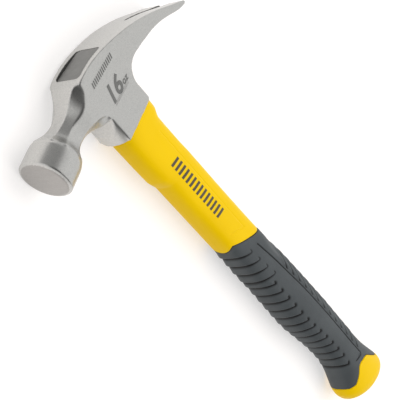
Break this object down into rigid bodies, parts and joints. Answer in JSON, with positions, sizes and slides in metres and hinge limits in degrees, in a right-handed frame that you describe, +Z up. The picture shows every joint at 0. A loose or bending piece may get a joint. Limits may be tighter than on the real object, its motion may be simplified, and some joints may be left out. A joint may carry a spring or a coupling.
{
  "type": "claw hammer",
  "caption": "Curved-claw hammer: steel head with round striking face and nail slot, resin-set fibreglass core, yellow plastic jacket and ribbed rubber grip. For driving and pulling nails.",
  "frame": {"origin": "middle of the bottom of the whole hammer's box, with the hammer lying on its side", "axes": "+X along the handle towards the top of the head, +Y towards the striking face, +Z up, across the head"},
  "size_m": [0.3332, 0.1354, 0.027],
  "materials": {
    "steel": "fine satin, blasted and clear coated",
    "fibreglass": "pultruded glass fibre in resin",
    "resin": "cast epoxy, dull",
    "yellow_plastic": "moulded, semi-gloss",
    "grip_rubber": "moulded soft rubber, matt"
  },
  "bodies": {
    "root": {"hammer_head": "steel", "fibreglass_core": "fibreglass", "eye_resin": "resin", "handle_jacket": "yellow_plastic", "rubber_grip": "grip_rubber"}
  },
  "joints": []
}
